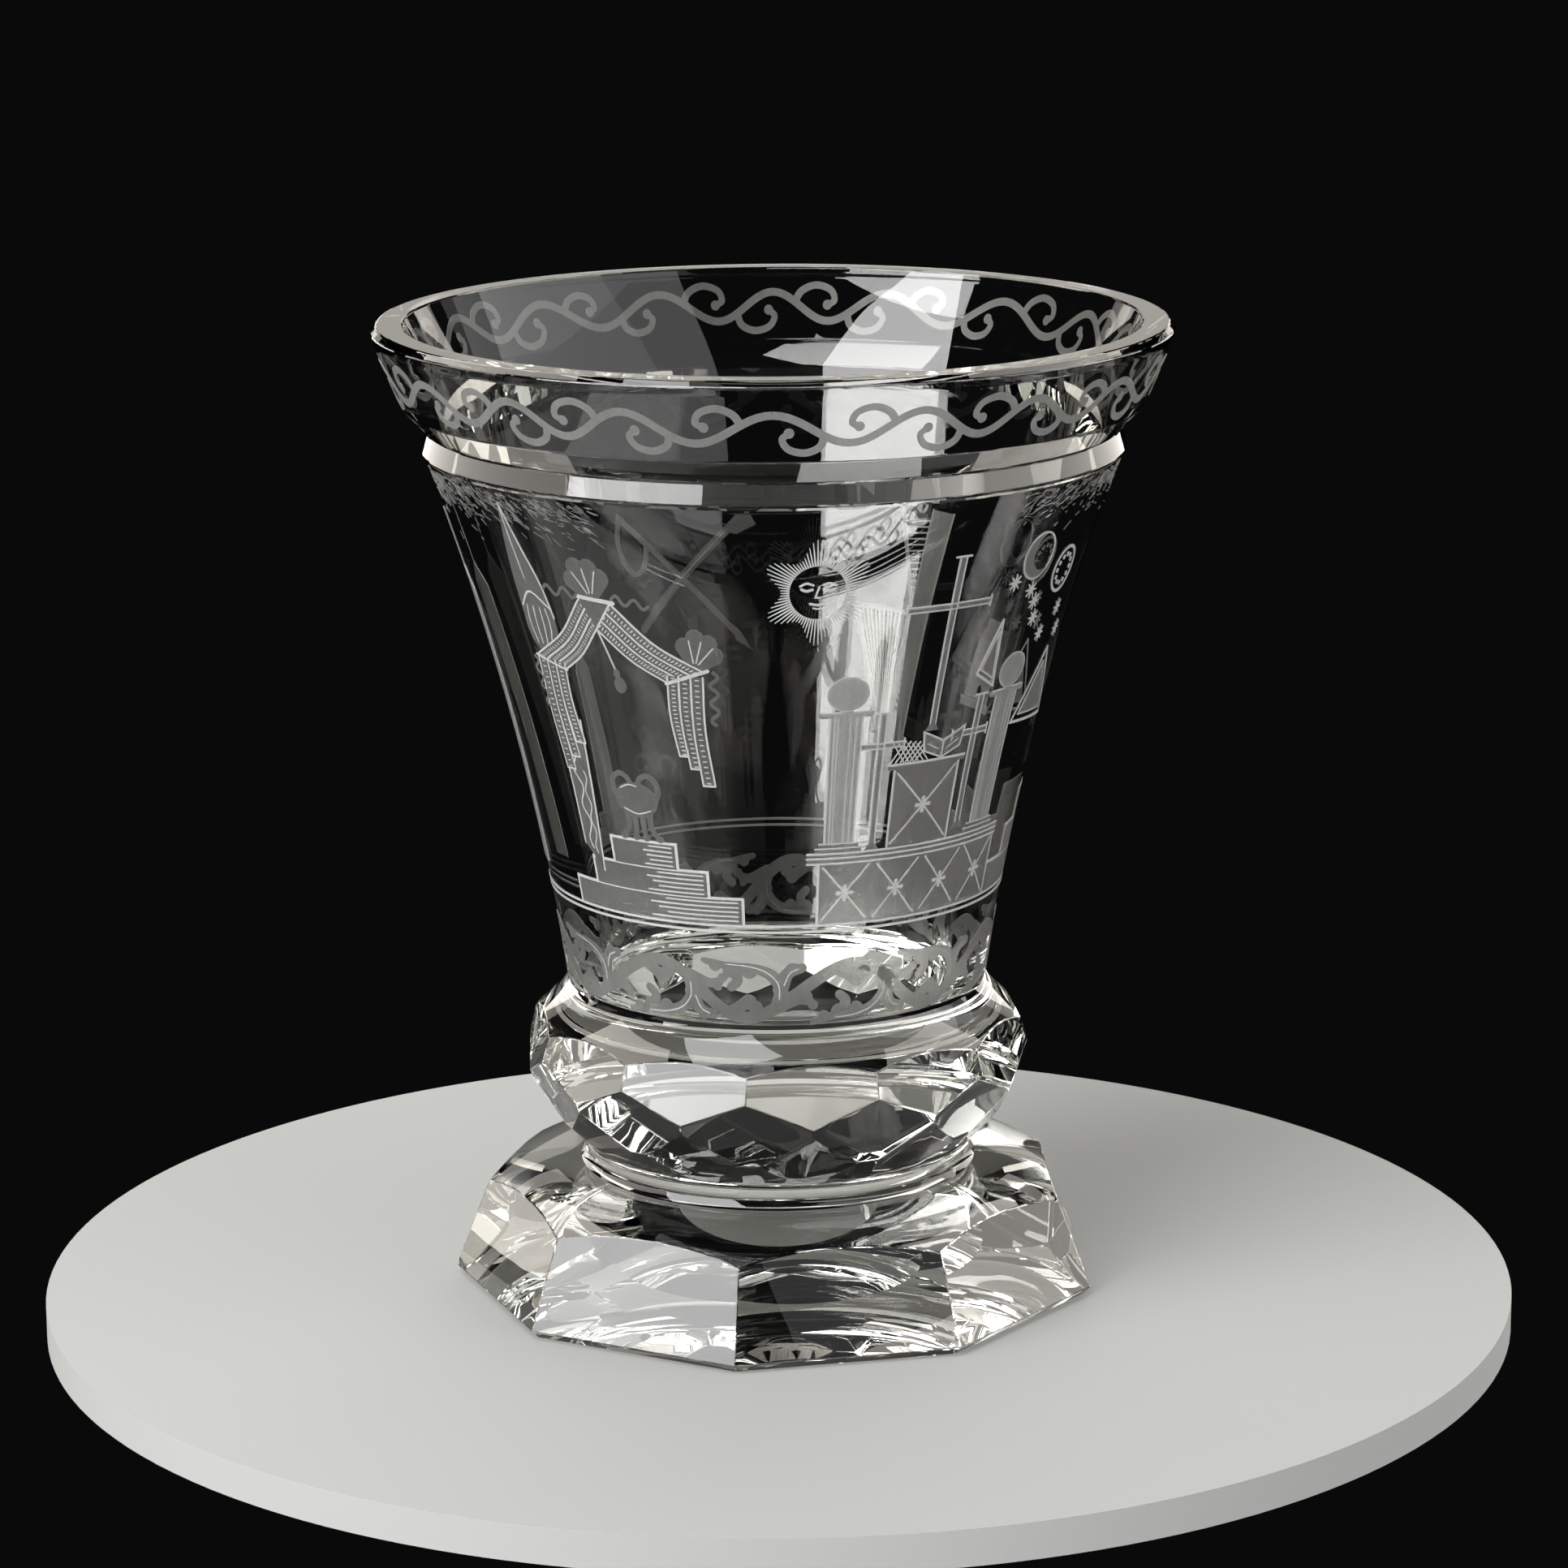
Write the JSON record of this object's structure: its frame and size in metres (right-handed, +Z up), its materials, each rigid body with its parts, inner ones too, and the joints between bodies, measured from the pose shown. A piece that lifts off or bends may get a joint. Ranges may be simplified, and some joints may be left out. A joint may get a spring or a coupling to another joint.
{
  "type": "firing glass",
  "caption": "Clear cut drinking glass: flared bowl with a grooved rim, faceted collar, short neck and a heavy faceted foot that stands flat.",
  "frame": {"origin": "middle of the foot's underside, on the surface that the glass stands on", "axes": "+Z up along the axis of the bowl, -Y towards the front, +X to the right seen from the front"},
  "size_m": [0.0881, 0.088, 0.109],
  "materials": {
    "clear_glass": "polished"
  },
  "bodies": {
    "root": {"bowl": "clear_glass", "collar": "clear_glass", "neck": "clear_glass", "foot": "clear_glass"}
  },
  "joints": []
}
